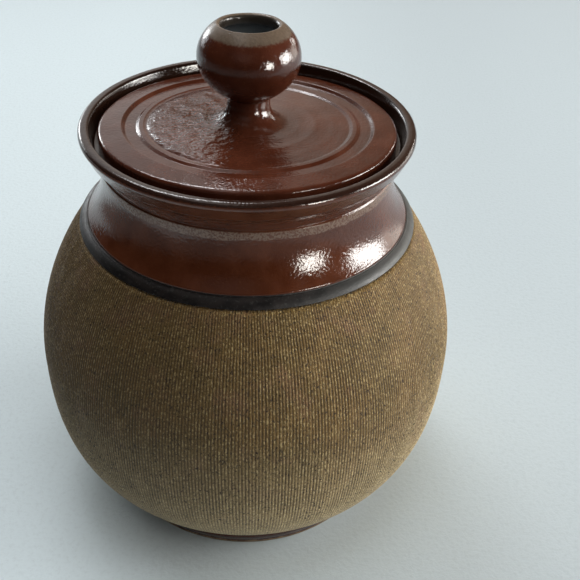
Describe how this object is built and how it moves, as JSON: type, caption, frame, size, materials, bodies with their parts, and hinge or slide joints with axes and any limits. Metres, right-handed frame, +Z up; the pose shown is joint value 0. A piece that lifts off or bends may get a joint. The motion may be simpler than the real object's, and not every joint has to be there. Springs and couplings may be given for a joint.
{
  "type": "stoneware storage jar",
  "caption": "Round-bellied lidded stoneware storage jar: combed bare clay belly, glazed shoulder and flared rim, lid resting in the rim's gallery with a hollow ball knob.",
  "frame": {"origin": "centre of the resting plane under the foot ring", "axes": "+Z up along the jar's turning axis, the lid's upper side and knob lean 2.2 degrees towards +Y"},
  "size_m": [0.1682, 0.1682, 0.2014],
  "materials": {
    "bare_clay": "matt, finely combed, unglazed",
    "brown_glaze": "glossy, dark red-brown",
    "slate_band": "satin, blue-grey"
  },
  "bodies": {
    "root": {"jar": "bare_clay", "lid": "brown_glaze"}
  },
  "joints": []
}
